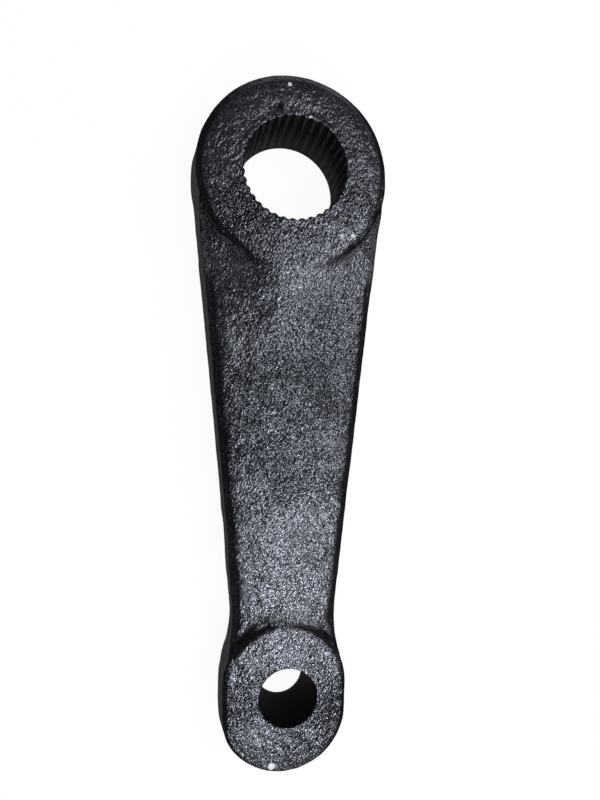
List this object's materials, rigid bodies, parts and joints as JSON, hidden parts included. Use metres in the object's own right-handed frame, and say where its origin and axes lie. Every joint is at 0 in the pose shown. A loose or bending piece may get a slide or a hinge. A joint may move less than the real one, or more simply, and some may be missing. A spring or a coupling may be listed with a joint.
{
  "type": "pitman arm",
  "caption": "Forged steering pitman arm: a big eye with a serrated taper bore, a straight-sided tapering arm with rounded edges, and a small eye with a taper bore for a ball stud.",
  "frame": {"origin": "serrated bore axis at the back face of the big eye", "axes": "+Z along the serrated bore towards the nut face, +Y along the arm's middle line from the small eye towards the big eye, +X to the right seen from the nut side"},
  "size_m": [0.086, 0.3044, 0.042],
  "materials": {
    "black_forging": "black paint over a coarse forged skin, satin"
  },
  "bodies": {
    "root": {"pitman_arm": "black_forging"}
  },
  "joints": []
}
